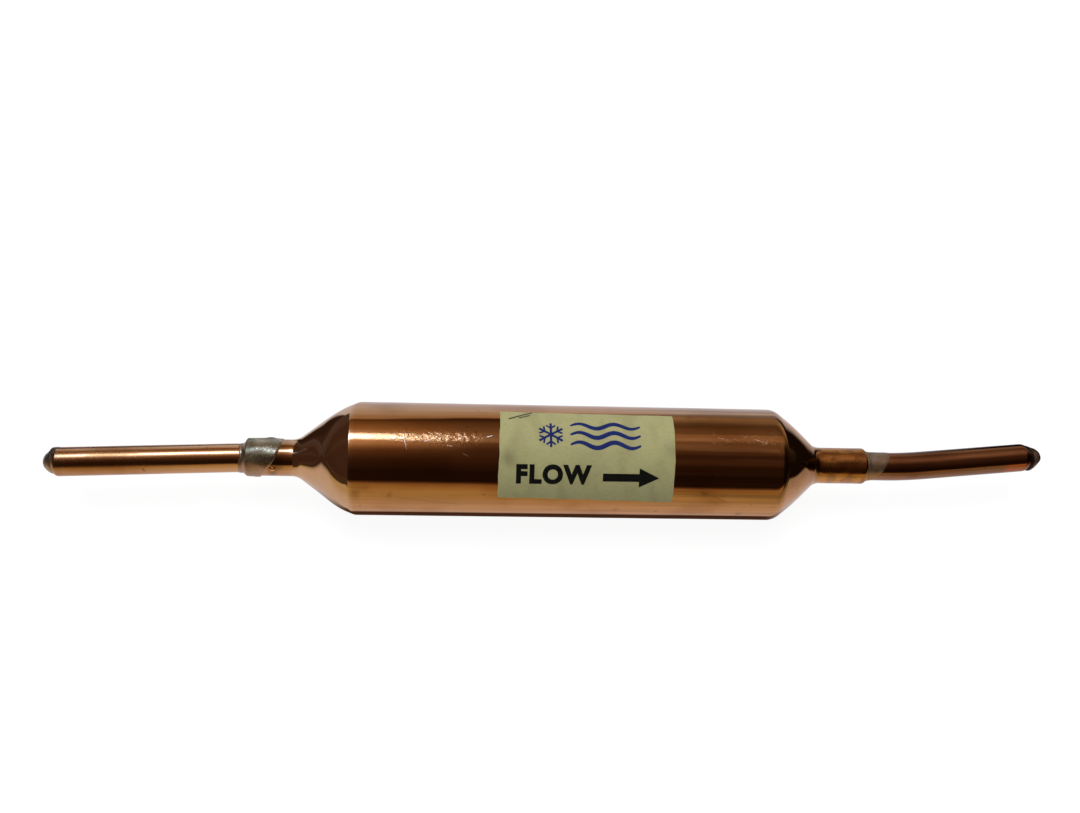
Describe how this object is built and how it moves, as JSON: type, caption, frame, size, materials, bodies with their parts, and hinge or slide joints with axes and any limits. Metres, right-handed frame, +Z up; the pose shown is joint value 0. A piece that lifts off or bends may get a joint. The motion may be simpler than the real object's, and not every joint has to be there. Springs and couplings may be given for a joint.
{
  "type": "filter drier",
  "caption": "Spun copper filter drier for a small refrigeration circuit, with soldered and sealed copper tube ends and a paper flow label.",
  "frame": {"origin": "on the floor under the middle of the whole length, with the barrel lying on z = 0", "axes": "+X along the shell's centre line, the way that the refrigerant flows; +Z up; the inlet tube leans towards -Y and the outlet tube bends towards +Y"},
  "size_m": [0.2238, 0.025, 0.0251],
  "materials": {
    "copper_shell": "polished spun copper with fine scratches and light tarnish",
    "copper_tube": "drawn copper tube, bright",
    "dark_copper_tube": "drawn copper tube, heat-darkened",
    "solder": "dull grey solder",
    "copper_drop": "bright drop of filler metal",
    "seal_solder": "dark tarnished solder",
    "label_paper": "aged khaki label paper, matt",
    "strainer_steel": "pressed steel",
    "gauze_wire": "woven brass wire",
    "desiccant_beads": "matt clay beads"
  },
  "bodies": {
    "root": {"shell": "copper_shell", "inlet_tube": "copper_tube", "outlet_tube": "dark_copper_tube", "inlet_solder": "solder", "inlet_solder_drop": "copper_drop", "outlet_solder": "solder", "inlet_seal": "seal_solder", "outlet_seal": "seal_solder", "label": "label_paper", "inlet_ring": "strainer_steel", "outlet_ring": "strainer_steel", "inlet_gauze": "gauze_wire", "outlet_gauze": "gauze_wire", "desiccant": "desiccant_beads"}
  },
  "joints": []
}
